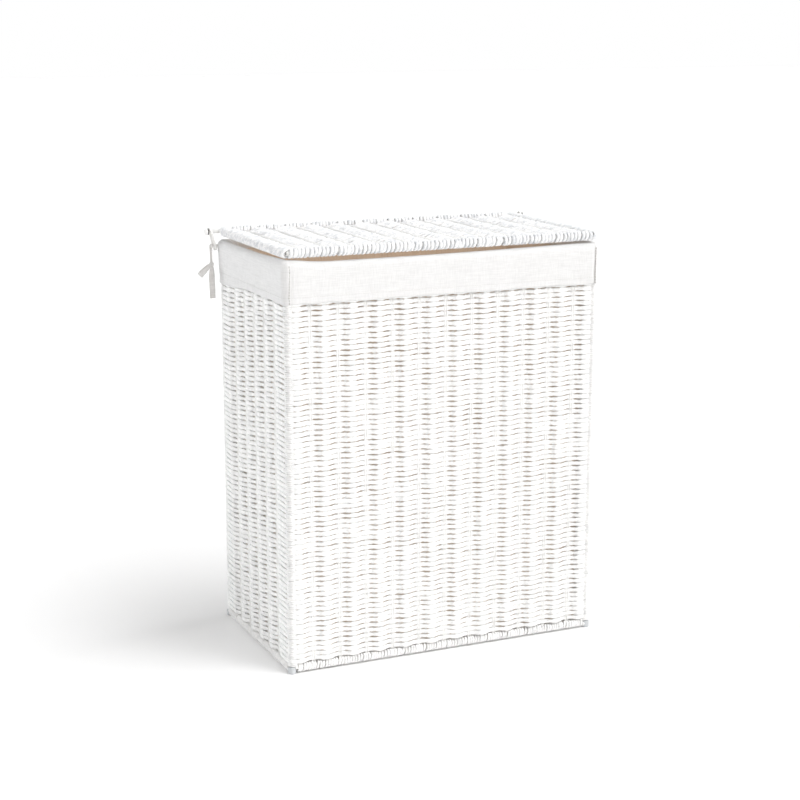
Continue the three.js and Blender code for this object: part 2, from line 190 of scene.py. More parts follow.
def tube_uvs(rows, steps, sides, metres):
    """UVs of open tubes' quads: a strip for each row, and the rope's own length and turn."""
    shape = (rows, steps - 1, sides)
    r, s, k = (np.broadcast_to(a, shape) for a in np.ogrid[: shape[0], : shape[1], : shape[2]])
    across = np.stack([k, k, k + 1, k + 1], -1) / sides
    along = np.stack([s, s + 1, s + 1, s], -1)
    strip = (r[..., None] + 0.04 + 0.92 * across) / rows
    bake = np.stack([along / shape[1], strip], -1)
    rope = np.stack([metres[r[..., None], along], across], -1)
    return {"OFBake": bake.reshape(-1, 2), "Rope": rope.reshape(-1, 2)}


def unit(v):
    return v / np.maximum(np.linalg.norm(v, axis=-1, keepdims=True), 1e-12)


def lengths(centre):
    """Distance along each row of centre points."""
    steps = np.linalg.norm(np.diff(centre, axis=1), axis=-1)
    return np.concatenate([np.zeros((len(centre), 1)), np.cumsum(steps, 1)], 1)


def power(value, exponent):
    return np.sign(value) * np.abs(value) ** exponent


def rope_tubes(
    name, centre, out, up, half_out, half_up, sides=ROPE_SIDES, groove=GROOVE, square=SQUARENESS
):
    """Rows of two-ply rope. The arrays are rows by steps, and out and up span each section."""
    rows, steps = centre.shape[:2]
    metres = lengths(centre)
    wander = wave_noise(rows, steps, 22 * MM / ROPE_STEP, 0.5)
    phase = TAU * metres / ROPE_LAY + wander + rng.uniform(0, TAU, (rows, 1))
    angle = math.pi + TAU * np.arange(sides) / sides
    ply = 1 - groove * (1 - np.abs(np.cos(angle - phase[..., None]))) ** 2
    ply = ply * (1 + rng.normal(0, 0.018, ply.shape))
    x = (half_out[..., None] * ply * power(np.cos(angle), square))[..., None]
    y = (half_up[..., None] * ply * power(np.sin(angle), square))[..., None]
    points = centre[:, :, None] + out[:, :, None] * x + up[:, :, None] * y
    faces = tube_faces(rows, steps, sides)
    blank = np.full((faces[1].size, 2), 0.5 / 1000)
    uvs = {layer: np.concatenate([uv, blank]) for layer, uv in tube_uvs(rows, steps, sides, metres).items()}
    return new_object(name, points.reshape(-1, 3), faces, uvs)


def wave_noise(count, steps, period_steps, amplitude):
    """Smooth noise along rows, different in each row: random knots joined by smooth steps."""
    knots = max(int(round(steps / period_steps)), 3)
    values = rng.normal(0, amplitude, (count, knots))
    at = np.arange(steps) * knots / steps
    first = np.floor(at).astype(int) % knots
    share = at - np.floor(at)
    share = share * share * (3 - 2 * share)
    return values[:, first] * (1 - share) + values[:, (first + 1) % knots] * share


def smooth_step(edge0, edge1, x):
    t = np.clip((x - edge0) / (edge1 - edge0), 0, 1)
    return t * t * (3 - 2 * t)


# --- woven rope ---


def last_stake(half):
    """Number of the last stake from the middle: odd, because the rope passes outside odd stakes and posts."""
    most = int((half - (rod_radius - WIRE_RADIUS) - CORNER_ROOM) // STAKE_PITCH)
    return most if most % 2 == 1 else most - 1


def rope_at(u, last):
    """Where the rope's centre line is, measured outwards from the wires' plane."""
    step = np.abs(u) / STAKE_PITCH
    stake = np.floor(step)
    travelled = (step - stake) * STAKE_PITCH - STAKE_FLAT
    share = np.clip(travelled / (STAKE_PITCH - 2 * STAKE_FLAT), 0, 1)
    start = np.where(stake % 2 == 1, 1, -1)
    return np.where(step >= last, 1, start * np.cos(math.pi * share)) * wind_offset


def looseness(u, last, post):
    """1 between the stakes, where gaps open between rows, falling to 0 at the stakes and corner posts."""
    nearest = np.clip(np.round(u / STAKE_PITCH), -last, last) * STAKE_PITCH
    distance = np.minimum(np.abs(u - nearest), np.maximum(post - np.abs(u) - 1 * MM, 0))
    return smooth_step(2.6 * MM, 6.2 * MM, distance)


def wall_rows(name, along, normal, plane, post, last, heights):
    """Rope rows of one wall, at these heights, with their ends tucked into the wound corner posts."""
    steps = int(round(2 * post / ROPE_STEP)) + 1
    rows = len(heights)
    u = np.linspace(-post, post, steps)
    tuck = smooth_step(0, 7.5 * MM, post - np.abs(u))
    offset = rope_at(u, last) * tuck
    offset = np.where(offset < 0, offset * BITE, offset)
    loose = looseness(u, last, post)
    # short lumps and slow changes of thickness, as shares of it; then rise and fall, in and out, in metres
    thin = wave_noise(rows, steps, 7 * MM / ROPE_STEP, 0.075)
    thick = wave_noise(rows, steps, 45 * MM / ROPE_STEP, 0.03)
    half_up = PRESSED_HALF * (1 - loose) + SPAN_HALF * loose
    half_up = half_up * (1 + thick + thin * (0.5 + 0.5 * loose))
    half_out = (rope_thickness / 2) * (1.1 + thick + thin)
    drift = wave_noise(rows, steps, 26 * MM / ROPE_STEP, 0.16 * MM)
    bulge = wave_noise(rows, steps, 17 * MM / ROPE_STEP, 0.22 * MM)
    base = u[:, None] * along + normal * plane
    centre = base[None] + normal * (offset + bulge)[..., None]
    centre[..., 2] = heights[:, None] + drift + shared_drift(base[:, :2], heights)
    ahead = np.gradient(centre, axis=1)
    ahead[..., 2] = 0
    up = np.broadcast_to(UP, centre.shape)
    out = np.cross(unit(ahead), up)
    return rope_tubes(name, centre, out, up, half_out, half_up)


# nine slow waves: how fast each turns along x, y and z, and where it starts
SHARED = [[rng.uniform(*ends) for ends in ((5, 30), (-12, 12), (5, 40), (0, TAU))] for _ in range(9)]


def shared_drift(base, heights):
    """Slow rise and fall that neighbouring rows share, because they are pushed down onto each other."""
    total = np.zeros((len(heights), len(base)))
    for kx, ky, kz, phase in SHARED:
        total += np.sin(kx * base[None, :, 0] + ky * base[None, :, 1] + kz * heights[:, None] + phase)
    edge = np.minimum(heights - wall_bottom, wall_top - heights)
    return total * 0.16 * MM * np.clip(edge / (20 * MM), 0, 1)[:, None]


def panel_rows(name, half_x, y_from, y_to, z):
    """Open rope rows of the lid or the bottom, wound over and under the stakes."""
    rows = int(round((y_to - y_from) / ROW_PITCH))
    pitch = (y_to - y_from) / rows
    steps = int(2 * half_x / ROPE_STEP)
    u = np.linspace(-half_x, half_x, steps)
    last = last_stake(frame_x)
    offset = rope_at(u, last) * PANEL_DEPTH
    loose = looseness(u, last, frame_x)
    thin = wave_noise(rows, steps, 8 * MM / ROPE_STEP, 0.06)
    thick = wave_noise(rows, steps, 60 * MM / ROPE_STEP, 0.03)
    half_up = pitch / 2 * (1 - loose) + (SPAN_HALF - 0.45 * MM) * loose
    half_up = half_up * (1 + thick + thin * (0.5 + 0.5 * loose))
    half_out = (rope_thickness / 2) * (1 + 2 * thick + 2 * thin)
    y = y_from + pitch * (np.arange(rows) + 0.5)
    centre = np.zeros((rows, steps, 3))
    centre[..., 0] = u
    centre[..., 1] = y[:, None] + wave_noise(rows, steps, 40 * MM / ROPE_STEP, 0.14 * MM)
    centre[..., 2] = z + offset + wave_noise(rows, steps, 15 * MM / ROPE_STEP, 0.38 * MM)
    tangent = unit(np.gradient(centre, axis=1) * np.array([1, 0, 1]))
    across = np.zeros_like(centre)
    across[..., 1] = 1
    out = np.cross(tangent, across)
    return rope_tubes(name, centre, out, across, half_out, half_up, groove=0.35, square=1.1)


# --- rope wound round rods ---


def wound_rod(name, path, inner, thickness, pitch, group=0, notch=0.0, inside=0.0, sides=8, around=14):
    """Rope wound round a rod whose axis is path, with a gap of notch after each group of turns.
    inside is the direction round the rod, in turns, where the rope crosses the gap."""
    at = lengths(path[None])[0]
    total = at[-1]
    if group:
        groups = max(int(round(total / (group * pitch + notch))), 1)
        turns = groups * group
        pitch = (total - (groups - 1) * notch) / turns
    else:
        turns = int(round(total / pitch))
        pitch = total / turns
    count = turns * around + 1
    turn = np.linspace(0, turns, count)
    place = turn * pitch
    if group:
        whole = np.floor((turn - inside) / group)
        within = (turn - inside) - whole * group
        place = place + notch * (whole + smooth_step(group - 0.45, group, within)) * (turn > 0)
        place = place - place.min()
        place = place * total / place.max()
    jitter = wave_noise(1, count, around * 0.7, 0.05)[0]
    place = np.clip(place + jitter * pitch * 1.6, 0, total)

    def on_path(distance):
        return np.stack([np.interp(distance, at, path[:, i]) for i in range(3)], 1)

    tangent = unit(on_path(place + 1 * MM) - on_path(place - 1 * MM))
    upright = abs(path[-1][2] - path[0][2]) > abs(path[-1][:2] - path[0][:2]).max()
    side = unit(np.cross(tangent, REARWARD if upright else UP))
    over = np.cross(side, tangent)
    angle = TAU * turn
    radial = side * np.cos(angle)[:, None] + over * np.sin(angle)[:, None]
    radius = inner + thickness / 2 + wave_noise(1, count, around * 0.5, 0.10 * MM)[0]
    centre = on_path(place) + radial * radius[:, None]
    direction = unit(np.gradient(centre, axis=0))
    across = unit(np.cross(direction, radial))
    out = np.cross(across, direction)
    half_out = np.full(count, thickness / 2)
    half_up = pitch / 2 * 0.96 * (1 + wave_noise(1, count, around * 0.8, 0.06)[0])
    arrays = [a[None] for a in (centre, out, across, half_out, half_up)]
    return rope_tubes(name, *arrays, sides=sides, groove=0.12, square=1.15)


def lid_rim_path(corner=4 * MM):
    """Axis of the lid's rim from one rear corner round the front to the other, with rounded corners."""
    rear = frame_y - lid_rim_radius * 0.2
    points = [np.array([[-frame_x, rear]])]
    for hand, turn in ((-1, math.pi), (1, 1.5 * math.pi)):
        centre = np.array([hand * (frame_x - corner), -frame_y + corner])
        angle = turn + np.linspace(0, math.pi / 2, 9)
        points.append(centre + corner * np.stack([np.cos(angle), np.sin(angle)], 1))
    points.append(np.array([[frame_x, rear]]))
    flat = np.concatenate(points)
    return np.column_stack([flat, np.full(len(flat), lid_z)])


# --- simple round shapes ---


def circle_round(axis, sides):
    """Directions all round an axis."""
    side = unit(np.cross(axis, [0.3, 0.5, 0.81]))
    other = np.cross(axis, side)
    angle = TAU * np.arange(sides) / sides
    return side * np.cos(angle)[:, None] + other * np.sin(angle)[:, None]


def rods(name, pieces, sides=12):
    """Several round rods in one object; each is (start, end, radius), with its edges rounded at the ends."""
    points = []
    for start, end, radius in pieces:
        start, end = np.array(start, float), np.array(end, float)
        ahead = unit(end - start)
        circle = circle_round(ahead, sides)
        bevel = radius * 0.25
        for centre, r in ((start, radius - bevel), (start + ahead * bevel, radius),
                          (end - ahead * bevel, radius), (end, radius - bevel)):
            points.append(centre + circle * r)
    return new_object(name, np.concatenate(points), tube_faces(len(pieces), 4, sides))


def lathe(name, profile, centre, axis, sides=40):
    """A turned shape: profile is (radius, distance along the axis) from end to end."""
    profile = np.array(profile, float)
    axis = unit(np.array(axis, float))
    circle = circle_round(axis, sides)
    points = np.array(centre) + profile[:, None, :1] * circle[None] + profile[:, None, 1:] * axis
    return new_object(name, points.reshape(-1, 3), tube_faces(1, len(profile), sides))


def profile_arc(centre, reach, height, start, end, count):
    """Points of an elliptical arc in a profile, from one angle to another in degrees."""
    angle = np.radians(np.linspace(start, end, count))
    return [(centre[0] + reach * math.cos(a), centre[1] + height * math.sin(a)) for a in angle]


# --- cloth ---


def loop_points(half_x, half_y, radius, spacing=3 * MM, corner_steps=9):
    """Once round a rectangle with rounded corners: points and outward directions. The number of points
    depends only on spacing, so loops of different radii join up."""
    points, ways = [], []
    for number, (half, plane, length) in enumerate(
        [(half_x, half_y, frame_x), (half_y, half_x, frame_y)] * 2
    ):
        angle = number * math.pi / 2
        along = np.array([math.cos(angle), math.sin(angle)])
        normal = np.array([math.sin(angle), -math.cos(angle)])
        count = int(round(2 * length / spacing))
        u = np.linspace(-(half - radius), half - radius, count + 1)[:, None]
        points.append(u * along + normal * plane)
        ways.append(np.tile(normal, (count + 1, 1)))
        turns = np.linspace(0, math.pi / 2, corner_steps + 2)[1:-1]
        way = np.cos(turns)[:, None] * normal + np.sin(turns)[:, None] * along
        centre = along * (half - radius) + normal * (plane - radius)
        points.append(centre + way * radius)
        ways.append(way)
    return np.concatenate(points), np.concatenate(ways)


def loft(name, loops):
    """A closed skin through loops of points, joined into a ring of rings."""
    stack = np.stack(loops, 1)
    steps, sides = stack.shape[:2]
    faces = [grid_faces(1, steps, sides, True)[:, ::-1]]
    return new_object(name, stack.reshape(-1, 3), faces)


def finish_piece(obj, body, slot, material, *nodes):
    """Give a piece its material and its body, and hide the CAD nodes that it replaces. slot is not used."""
    obj.data.materials.clear()
    obj.data.materials.append(material)
    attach(obj, body)
    if nodes:
        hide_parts(*nodes)
    return obj


# --- materials ---


def new_material(name, roughness, specular=0.3):
    material = bpy.data.materials.new(name)
    material.use_nodes = True
    shader = material.node_tree.nodes["Principled BSDF"]
    shader.inputs["Roughness"].default_value = roughness
    shader.inputs["Specular IOR Level"].default_value = specular
    return material, material.node_tree, shader


def add_node(tree, kind, values=None, **settings):
    """A node with these settings and input values; a value may be another node's output."""
    node = tree.nodes.new(kind)
    for key, value in settings.items():
        setattr(node, key, value)
    for key, value in (values or {}).items():
        if isinstance(value, bpy.types.NodeSocket):
            tree.links.new(value, node.inputs[key])
        else:
            node.inputs[key].default_value = value
    return node


def surface(material, factor, stops, height, depth, strength):
    """Colour a material by a ramp on a factor, and raise its surface by a height."""
    tree = material.node_tree
    shader = tree.nodes["Principled BSDF"]
    tree.links.new(ramp(tree, factor, stops), shader.inputs["Base Color"])
    values = {"Height": height, "Distance": depth, "Strength": strength}
    tree.links.new(add_node(tree, "ShaderNodeBump", values).outputs["Normal"], shader.inputs["Normal"])
    return material


def maths(tree, operation, *values):
    return add_node(tree, "ShaderNodeMath", dict(enumerate(values)), operation=operation).outputs[0]


def ramp(tree, factor, stops):
    """A colour ramp on a factor: stops are (position, colour)."""
    node = add_node(tree, "ShaderNodeValToRGB", {"Fac": factor})
    elements = node.color_ramp.elements
    while len(elements) < len(stops):
        elements.new(0.5)
    for element, (position, colour) in zip(elements, stops):
        element.position = position
        element.color = (*colour, 1)
    return node.outputs["Color"]


def object_noise(tree, scale, stretch=(1, 1, 1), detail=2.0):
    """Noise in the object's own metres, stretched along an axis."""
    place = add_node(tree, "ShaderNodeTexCoord").outputs["Object"]
    mapped = add_node(tree, "ShaderNodeMapping", {"Vector": place, "Scale": stretch}).outputs["Vector"]
    values = {"Vector": mapped, "Scale": scale, "Detail": detail}
    return add_node(tree, "ShaderNodeTexNoise", values).outputs["Fac"]


def paper_rope(name, dark, light, patches):
    """Twisted paper: fine creases that wind with the plies, and patches of tone, as many to a metre."""
    material, tree, _ = new_material(name, 0.82, 0.25)
    rope = add_node(tree, "ShaderNodeUVMap", uv_map="Rope").outputs["UV"]
    parts = add_node(tree, "ShaderNodeSeparateXYZ", {"Vector": rope})
    wound = maths(tree, "MULTIPLY", parts.outputs["X"], 1 / ROPE_LAY)
    crease = maths(tree, "SUBTRACT", parts.outputs["Y"], wound)
    across = maths(tree, "MULTIPLY", crease, 13.0)
    along = maths(tree, "MULTIPLY", parts.outputs["X"], 70.0)
    where = add_node(tree, "ShaderNodeCombineXYZ", {"X": across, "Y": along}).outputs["Vector"]
    fine = add_node(tree, "ShaderNodeTexNoise", {"Vector": where, "Scale": 1.0, "Detail": 3.0}).outputs["Fac"]
    both = maths(tree, "MULTIPLY_ADD", fine, object_noise(tree, patches), 0.28)
    return surface(material, both, [(0.38, dark), (0.62, light)], fine, 0.35 * MM, 0.7)


def cloth_material(name, dark, light, thread, weave=0.5):
    """Plain-woven cotton: crossing threads with slubs along the upright ones."""
    material, tree, shader = new_material(name, 0.95, 0.15)
    shader.inputs["Sheen Weight"].default_value = 0.08
    upright = object_noise(tree, 1 / thread, (1, 1, 0.08), 3.0)
    level = object_noise(tree, 1 / thread, (0.06, 0.06, 1), 2.0)
    half = maths(tree, "MULTIPLY", maths(tree, "ADD", upright, level), 0.5)
    return surface(material, half, [(0.36, dark), (0.60, light)], half, 0.5 * MM, weave)


def painted_metal(name, colour):
    material, tree, _ = new_material(name, 0.38, 0.5)
    thin = tuple(c * 0.86 for c in colour)
    specks = object_noise(tree, 900.0, detail=3.0)
    return surface(material, specks, [(0.30, thin), (0.48, colour)], specks, 0.05 * MM, 0.5)


def moulded(name, dark, light, roughness):
    material, tree, _ = new_material(name, roughness, 0.5)
    specks = object_noise(tree, 1400.0, detail=2.0)
    return surface(material, specks, [(0.3, dark), (0.7, light)], specks, 0.06 * MM, 0.6)


rope_paper = paper_rope("paper_rope", (0.79, 0.795, 0.80), (0.94, 0.94, 0.935), 110.0)
# the lid's copy of the paper rope has darker, bluish patches: painted shade, for the grey marks between the
# lid's rows
lid_paper = paper_rope("lid_paper_rope_painted_shade", (0.60, 0.62, 0.65), (0.93, 0.93, 0.93), 150.0)
wire_paint = painted_metal("white_wire_paint", (0.86, 0.86, 0.85))
cuff_cotton = cloth_material("cuff_cotton", (0.69, 0.69, 0.69), (0.77, 0.77, 0.77), 1.1 * MM, 0.6)
# the bag's warm tan is painted shade: the cloth is white, and the tan stands in for the warm shade seen
# through the gaps of the weave and in the slot under the lid
bag_cotton_painted_shade = cloth_material("bag_cotton_painted_shade", (0.72, 0.61, 0.51), (0.82, 0.72, 0.62), 1.3 * MM)
# the ties' tape is greyer than the cuff: painted shade, for the shade that the ties hang in
tape_cotton_painted_shade = cloth_material("tape_cotton_painted_shade", (0.62, 0.61, 0.60), (0.74, 0.73, 0.72), 0.7 * MM)
hem_cotton = cloth_material("hem_thread", (0.60, 0.60, 0.59), (0.70, 0.70, 0.69), 0.5 * MM)
seam_cotton = cloth_material("seam_thread", (0.30, 0.28, 0.26), (0.42, 0.40, 0.38), 0.5 * MM)
cap_plastic = moulded("white_plastic", (0.80, 0.80, 0.80), (0.88, 0.88, 0.88), 0.35)
clear_plastic = moulded("pale_plastic", (0.48, 0.50, 0.52), (0.58, 0.60, 0.615), 0.32)
black_rubber = moulded("black_rubber", (0.012, 0.012, 0.013), (0.03, 0.03, 0.032), 0.65)


# --- the walls ---


def build_walls():
    rows = int(round((wall_top - wall_bottom) / ROW_PITCH))
    pitch = (wall_top - wall_bottom) / rows
    heights = wall_bottom + pitch * (np.arange(rows) + 0.5)
    for name, along, normal, half, plane in sides():
        post, parts = (post_x, 3) if name in LONG_SIDES else (post_y, 2)
        for number, band in enumerate(np.array_split(heights, parts)):
            obj = wall_rows(f"rows_{name}_{number + 1}", along, normal, plane, post, last_stake(half), band)
            finish_piece(obj, "basket", "paper_rope", rope_paper, f"woven_{name}")
    inner = rod_radius + WRAP_GAP
    thickness = wall_reach + (frame_x - post_x) - inner
    for row, column in CORNERS:
        x, y, _ = middle(f"corner_post_{row}_{column}")
        foot = high(f"foot_cap_{row}_{column}")[2]
        path = np.array([[x, y, foot], [x, y, wall_top]])
        obj = wound_rod(f"post_wrap_{row}_{column}", path, inner, thickness, 2.6 * MM, sides=6, around=12)
        finish_piece(obj, "basket", "paper_rope", rope_paper, f"woven_{row.replace('rear', 'back')}")


def sides():
    """Each wall: name, direction along it, outward direction, half length, plane."""
    names = ["front", "right", "back", "left"]
    for number, name in enumerate(names):
        angle = number * math.pi / 2
        along = np.array([math.cos(angle), math.sin(angle), 0])
        normal = np.array([math.sin(angle), -math.cos(angle), 0])
        half, plane = (frame_x, frame_y) if number % 2 == 0 else (frame_y, frame_x)
        yield name, along, normal, half, plane


def stake_wires():
    """How far each stake wire of the lid, the bottom and the long walls is from the middle."""
    return wire_places(last_stake(frame_x))


def wire_places(last):
    stakes = range(-last, last + 1)
    return [k * STAKE_PITCH + hand * WIRE_SPACING for k in stakes for hand in (-0.5, 0.5)]


def build_wires():
    for name, along, normal, half, plane in sides():
        pieces = []
        end = half if name in LONG_SIDES else half - rod_radius - CLEARANCE
        for z in (base_z, rail_z):
            if z == rail_z and name == "back":
                continue
            ends = [along * e + normal * plane + UP * z for e in (-end, end)]
            pieces.append((*ends, rod_radius))
        top = rail_z - rod_radius - CLEARANCE if name == "back" else rail_z
        for place in wire_places(last_stake(half)):
            foot = along * place + normal * plane
            pieces.append((foot + UP * base_z, foot + UP * top, WIRE_RADIUS))
        obj = rods(f"wires_{name}", pieces)
        finish_piece(obj, "basket", "white_wire", wire_paint, f"wire_panel_{name}")


def build_bindings():
    inner = rod_radius + WRAP_GAP
    thickness = rim_radius - inner
    foot = high("foot_cap_front_right")[0] - frame_x
    for name, along, normal, half, plane in sides():
        end = half - foot + 1 * MM
        path = np.array([along * e + normal * plane + UP * base_z for e in (-end, end)])
        gap = {"group": 8, "notch": 1.2 * MM, "inside": 0.4}
        obj = wound_rod(f"base_wrap_{name}", path, inner, thickness, 3.9 * MM, **gap)
        finish_piece(obj, "basket", "paper_rope", rope_paper, f"base_binding_{name}")
        end = half - 1 * MM
        path = np.array([along * e + normal * plane + UP * rail_z for e in (-end, end)])
        obj = wound_rod(f"rail_wrap_{name}", path, inner, thickness, 4.6 * MM, around=10, sides=6)
        finish_piece(obj, "basket", "paper_rope", rope_paper, f"top_binding_{name}")


def build_bottom():
    half_x, y = high("woven_base")[:2]
    obj = panel_rows("base_rows", half_x + 2 * MM, -y, y, base_z)
    finish_piece(obj, "basket", "paper_rope", rope_paper, "woven_base")
    bar = 1.2 * MM  # radius of the bars at the front and back ends of the stakes
    bar_y = high("base_wire_grid")[1] - bar
    reach = last_stake(frame_x) * STAKE_PITCH + WIRE_SPACING
    pieces = [([-reach, at, base_z], [reach, at, base_z], bar) for at in (-bar_y, bar_y)]
    pieces += [([x, -bar_y, base_z], [x, bar_y, base_z], WIRE_RADIUS) for x in stake_wires()]
    obj = rods("base_wires", pieces)
    finish_piece(obj, "basket", "white_wire", wire_paint, "base_wire_grid")


# --- the lid ---


def build_lid():
    half_x = high("woven_lid")[0]
    obj = panel_rows("lid_rows", half_x + 2 * MM, low("woven_lid")[1], high("woven_lid")[1], lid_z)
    finish_piece(obj, "lid", "paper_rope", lid_paper, "woven_lid")

    radius = lid_rod_radius
    front, rear = -frame_y, frame_y - radius - CLEARANCE
    pieces = [([-frame_x, front, lid_z], [frame_x, front, lid_z], radius)]
    pieces += [([x, front, lid_z], [x, rear, lid_z], radius) for x in (-frame_x, frame_x)]
    pieces += [([x, front, lid_z], [x, rear, lid_z], WIRE_RADIUS) for x in stake_wires()]
    obj = rods("lid_wires", pieces)
    finish_piece(obj, "lid", "white_wire", wire_paint, "lid_frame")
    ends = [[edge[0], frame_y, lid_z] for edge in (low("lid_hinge_rod"), high("lid_hinge_rod"))]
    obj = rods("hinge_rod", [(*ends, radius)], 24)
    finish_piece(obj, "lid", "white_wire", wire_paint, "lid_hinge_rod")

    inner = radius + WRAP_GAP
    thickness = lid_rim_radius - inner
    fine = {"group": 7, "inside": 0.5, "sides": 10, "around": 16}
    obj = wound_rod("lid_rim_wrap", lid_rim_path(), inner, thickness, 5.3 * MM, notch=1.6 * MM, **fine)
    nodes = ["lid_binding_left", "lid_binding_front", "lid_binding_right"]
    finish_piece(obj, "lid", "paper_rope", lid_paper, *nodes)
    end = frame_x - lid_rim_radius - 0.5 * MM
    path = np.array([[-end, frame_y, lid_z], [end, frame_y, lid_z]])
    obj = wound_rod("lid_rear_wrap", path, inner, thickness, 5.0 * MM, notch=3.4 * MM, **fine)
    finish_piece(obj, "lid", "paper_rope", lid_paper, "lid_binding_back")


# --- the liner ---


def profile_normals(profile):
    tangent = unit(np.gradient(profile, axis=0))
    return np.stack([-tangent[:, 1], tangent[:, 0]], 1)


def loop_length(points):
    """Distance round a closed loop at each of its points, and at the first again."""
    return lengths(np.concatenate([points, points[:1]])[None])[0]


def ring_noise(s, total, waves, amplitude, seed):
    """Smooth noise round a loop, from a few whole waves."""
    own = np.random.default_rng(seed)
    value = np.zeros_like(s)
    for count in waves:
        value += np.sin(TAU * count * s / total + own.uniform(0, TAU)) * own.uniform(0.5, 1.0)
    return value * amplitude / len(waves)


def corner_bulge(points):
    """How much higher the fold stands near the corners, where the cloth bunches up under the lid."""
    bulge = np.zeros(len(points))
    # hand, side, height, reach along the front or back, reach along the side; all in millimetres
    for hand, side, height, reach_x, reach_y in (
        (-1, -1, 4.6, 30, 70),
        (1, -1, 3.4, 160, 60),
        (-1, 1, 1.2, 50, 30),
        (1, 1, 1.2, 60, 40),
    ):
        away_x = np.abs(points[:, 0] - hand * frame_x) / (reach_x * MM)
        away_y = np.abs(points[:, 1] - side * frame_y) / (reach_y * MM)
        bulge = np.maximum(bulge, height * MM * np.exp(-((away_x**2 + away_y**2) ** 0.9)))
    return bulge


def build_cuff():
    """One folded skin: up from inside, over the rail and down to the hem, with waves and sunken seams."""
    middle_radius = cuff_reach - CLOTH / 2 - 0.2 * MM
    arc = np.linspace(math.pi, 0, 15)
    inside = [(-middle_radius, -z) for z in (CUFF_INSIDE, 16 * MM, 10 * MM, 5 * MM)]
    over = [(middle_radius * math.cos(a), middle_radius * math.sin(a)) for a in arc]
    drop = np.linspace(0, cuff_bottom - rail_z, 19)[1:]
    outside = [(middle_radius, z) for z in drop]
    profile = np.array(inside + over + outside)
    normal = profile_normals(profile)
    half = np.full(len(profile), CLOTH / 2)
    hem = (profile[:, 1] < cuff_bottom - rail_z + HEM_FOLD) & (profile[:, 0] > 0)
    half[hem] = CLOTH * 0.85
    skins = np.concatenate([profile + normal * half[:, None], (profile - normal * half[:, None])[::-1]])
    reference, _ = loop_points(frame_x + cuff_reach, frame_y + cuff_reach, CORNER_RADIUS)
    s = loop_length(reference)
    total, s = s[-1], s[:-1]
    bulge = corner_bulge(reference)
    corner = CORNER_RADIUS - cuff_reach
    hem_wave = ring_noise(s, total, [9, 14, 23], 1.1 * MM, 3)
    flare = ring_noise(s, total, [7, 12, 19, 31], 0.9 * MM, 4)
    ripple = ring_noise(s, total, [41, 57, 66], 0.35 * MM, 5)
    seam = seam_places(reference)
    rearward = smooth_step(-20 * MM, frame_y, reference[:, 1])
    droop = HEM_DROOP * rearward * smooth_step(-frame_x + 40 * MM, -frame_x, reference[:, 0])
    loops = []
    for outset, z in skins:
        points, ways = loop_points(frame_x + outset, frame_y + outset, max(corner + outset, 0.4 * MM))
        down = float(smooth_step(0, cuff_bottom - rail_z, z)) if outset > 0 else 0.0
        top = z / math.hypot(z, outset) if z > 0 else 0.0
        slant = ring_noise(s + z * 1.7, total, [29, 38], 0.45 * MM, 6)
        push = 0.25 * MM + down * (flare - 1.9 * MM) + (ripple + slant) * (0.3 + 0.7 * down)
        push = (push - seam * 1.5 * MM) * (outset > 0)
        lift = bulge * top + (hem_wave - droop) * down
        moved = points + ways * push[:, None]
        loops.append(np.column_stack([moved, rail_z + z + lift]))
    below = (profile[:, 0] > 0) & (profile[:, 1] < SLIT_WIDTH / 2)
    obj = slit_skin("liner_cuff", loops, int(np.argmax(below)), in_slit(reference))
    finish_piece(obj, "basket", "liner_cloth", cuff_cotton)
    return obj, reference


def in_slit(points):
    """Which loop points lie over the rear rail's ends, where the cuff is slit from there to its hem."""
    return (np.abs(points[:, 0]) > frame_x) & (np.abs(points[:, 1] - frame_y) < SLIT_WIDTH / 2)


def slit_skin(name, loops, first, opened):
    """A skin like loft's, whose loops go down one face and back up the other, cut open from loop number
    first to the hem at the opened points."""
    rings, count = len(loops), len(loops[0])
    stack = np.stack(loops, 1)
    column, ring = np.meshgrid(np.arange(count), np.arange(rings), indexing="ij")
    both = opened & np.roll(opened, -1)
    keep = ~(both[column] & (ring >= first) & (ring < rings - 1 - first))
    faces = [grid_faces(1, count, rings, True)[keep.ravel()][:, ::-1]]
    bridges = []
    for c in np.where(both)[0]:
        after = (c + 1) % count
        bridges.append([c * rings + first, after * rings + first,
                        after * rings + rings - 1 - first, c * rings + rings - 1 - first])
    starts = np.where(both & ~np.roll(both, 1))[0]
    stops = np.where(both & ~np.roll(both, -1))[0] + 1
    for c in np.concatenate([starts, stops]) % count:
        for k in range(first, rings // 2 - 1):
            bridges.append([c * rings + k, c * rings + k + 1,
                            c * rings + rings - 2 - k, c * rings + rings - 1 - k])
    faces.append(np.array(bridges))
    obj = new_object(name, stack.reshape(-1, 3), faces)
    mesh = bmesh.new()
    mesh.from_mesh(obj.data)
    bmesh.ops.delete(mesh, geom=[v for v in mesh.verts if not v.link_faces], context="VERTS")
    bmesh.ops.recalc_face_normals(mesh, faces=mesh.faces)
    mesh.to_mesh(obj.data)
    mesh.free()
    return obj


def seam_places(reference):
    """1 at the loop points where the front and back panels of the cuff meet the corners, else 0."""
    seam = np.zeros(len(reference))
    edge = np.abs(np.abs(reference[:, 1]) - (frame_y + cuff_reach)) < 0.01 * MM
    for hand in (-1, 1):
        for side in (-1, 1):
            on = np.where(edge & (reference[:, 1] * side > 0))[0]
            seam[on[np.argmax(reference[on, 0] * hand)]] = 1
    return seam


